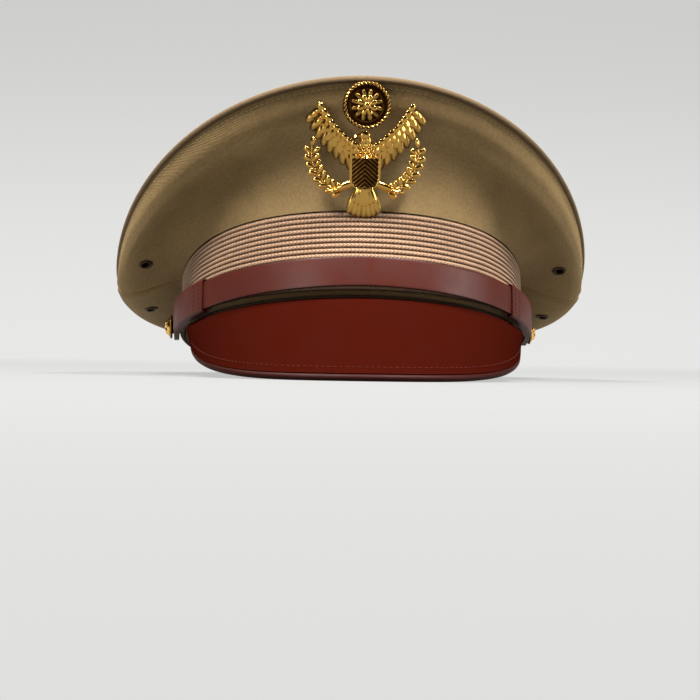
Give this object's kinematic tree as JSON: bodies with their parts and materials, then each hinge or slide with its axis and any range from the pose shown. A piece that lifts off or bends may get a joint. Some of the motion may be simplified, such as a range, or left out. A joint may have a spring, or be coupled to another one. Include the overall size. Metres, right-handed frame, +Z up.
{
  "type": "military peaked cap",
  "caption": "Khaki officer's service cap with a high-fronted cloth crown, ribbed braid band, brown leather visor and chin strap, vent eyelets and a gilt bird badge.",
  "frame": {"origin": "on the table under the middle of the cap's box, with the cap standing on its visor's edge and the back of its band", "axes": "+Z up, -Y towards the visor, +X to the right as seen facing the badge"},
  "size_m": [0.2514, 0.2986, 0.1461],
  "materials": {
    "khaki_twill": "matt cotton twill with a fine diagonal rib",
    "khaki_piping": "twill folded over a cord",
    "lining_cloth": "smooth lining cloth",
    "mohair_braid": "ribbed mohair braid",
    "visor_leather": "semi-matt russet leather",
    "strap_leather": "satin russet leather",
    "sweatband_leather": "soft tan leather",
    "stiffener": "stiff buckram board",
    "spring_steel": "drawn wire",
    "clear_film": "clear film",
    "bronze": "dark bronzed brass",
    "gilt": "bright gilt"
  },
  "bodies": {
    "cap": {"sweatband": "sweatband_leather", "sweatband_bow": "sweatband_leather", "band_frame": "stiffener", "band_braid": "mohair_braid", "band_lower_piping": "khaki_piping", "crown_top": "khaki_twill", "front_quarter": "khaki_twill", "rear_quarter_left": "khaki_twill", "rear_quarter_right": "khaki_twill", "crown_welt": "khaki_piping", "crown_grommet": "spring_steel", "grommet_ferrule": "spring_steel", "crown_lining": "lining_cloth", "sweat_shield": "clear_film", "front_stay": "stiffener", "vent_eyelet_left_front": "bronze", "vent_eyelet_left_rear": "bronze", "vent_eyelet_right_front": "bronze", "vent_eyelet_right_rear": "bronze", "visor_core": "stiffener", "visor_top_leather": "visor_leather", "visor_underside_leather": "visor_leather", "visor_edge_binding": "visor_leather", "button_nut_left": "gilt", "button_nut_right": "gilt", "badge_bird": "gilt", "badge_disc": "gilt", "badge_breast_shield": "gilt", "badge_post": "gilt"},
    "chin_strap": {"chin_strap_inner": "strap_leather", "chin_strap_outer": "strap_leather"},
    "keeper_left": {"strap_keeper_left": "strap_leather"},
    "keeper_right": {"strap_keeper_right": "strap_leather"},
    "button_left": {"side_button_left": "gilt"},
    "button_right": {"side_button_right": "gilt"},
    "badge_nut": {"badge_nut": "gilt"}
  },
  "joints": [
    {"name": "chin_strap_swing", "type": "hinge", "parent": "cap", "child": "chin_strap", "pos_m": [0, -0.00631, 0.02534], "axis": [-1, 0, 0], "range_deg": [0, 4]},
    {"name": "keeper_left_slide", "type": "hinge", "parent": "chin_strap", "child": "keeper_left", "pos_m": [0.02496, -0.0088, 0.02578], "axis": [0.002, 0.2438, 0.9698], "range_deg": [0, 5.8]},
    {"name": "keeper_right_slide", "type": "hinge", "parent": "chin_strap", "child": "keeper_right", "pos_m": [-0.02496, -0.0088, 0.02578], "axis": [0.002, -0.2438, -0.9698], "range_deg": [0, 5.8]},
    {"name": "button_left_turn", "type": "hinge", "parent": "cap", "child": "button_left", "pos_m": [-0.094, -0.00631, 0.02534], "axis": [-1, 0, 0], "continuous": true},
    {"name": "button_right_turn", "type": "hinge", "parent": "cap", "child": "button_right", "pos_m": [0.094, -0.00631, 0.02534], "axis": [1, 0, 0], "continuous": true},
    {"name": "badge_nut_turn", "type": "hinge", "parent": "cap", "child": "badge_nut", "pos_m": [0, -0.11127, 0.11096], "axis": [0, -0.9759, -0.2182], "continuous": true}
  ]
}
